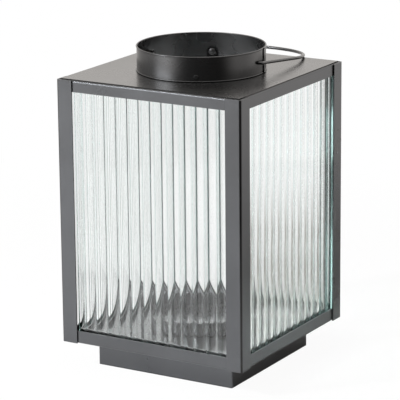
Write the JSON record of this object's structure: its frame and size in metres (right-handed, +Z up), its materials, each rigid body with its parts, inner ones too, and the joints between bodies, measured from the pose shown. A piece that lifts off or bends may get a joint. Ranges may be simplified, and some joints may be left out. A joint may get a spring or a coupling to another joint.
{
  "type": "candle lantern",
  "caption": "Square candle lantern: painted steel frame with fluted glass sides, recessed plinth, round open collar on the top plate and a wire bail.",
  "frame": {"origin": "centre of the plinth's underside, on the surface that the lantern stands on", "axes": "+Z up, -Y towards the front pane, +X towards the right-hand pane; the bail's pivot axis is parallel to X and the bail is folded down towards +Y at rest"},
  "size_m": [0.18, 0.2115, 0.2804],
  "materials": {
    "painted_steel": "satin dark grey powder coat",
    "satin_black_steel": "satin black-grey paint",
    "inner_steel": "satin dark grey paint",
    "fluted_glass": "clear, faintly green, fluted on the outside"
  },
  "bodies": {
    "lantern_body": {"plinth": "painted_steel", "floor_tray": "inner_steel", "bottom_rail_front": "painted_steel", "bottom_rail_right": "painted_steel", "bottom_rail_back": "painted_steel", "bottom_rail_left": "painted_steel", "post_front_left": "painted_steel", "post_front_right": "painted_steel", "post_back_right": "painted_steel", "post_back_left": "painted_steel", "top_rail_front": "painted_steel", "top_rail_right": "painted_steel", "top_rail_back": "painted_steel", "top_rail_left": "painted_steel", "glass_front": "fluted_glass", "glass_right": "fluted_glass", "glass_back": "fluted_glass", "glass_left": "fluted_glass", "glass_clips": "inner_steel", "top_plate": "painted_steel", "collar": "satin_black_steel", "collar_rivets": "painted_steel"},
    "bail": {"bail_handle": "satin_black_steel"},
    "dish": {"candle_dish": "inner_steel"}
  },
  "joints": [
    {"name": "bail_pivot", "type": "hinge", "parent": "lantern_body", "child": "bail", "pos_m": [0, 0, 0.2694], "axis": [1, 0, 0], "range_deg": [0, 192.2]},
    {"name": "dish_lift", "type": "slide", "parent": "lantern_body", "child": "dish", "axis": [0, 0, 1], "range_m": [0, 0.27]}
  ]
}
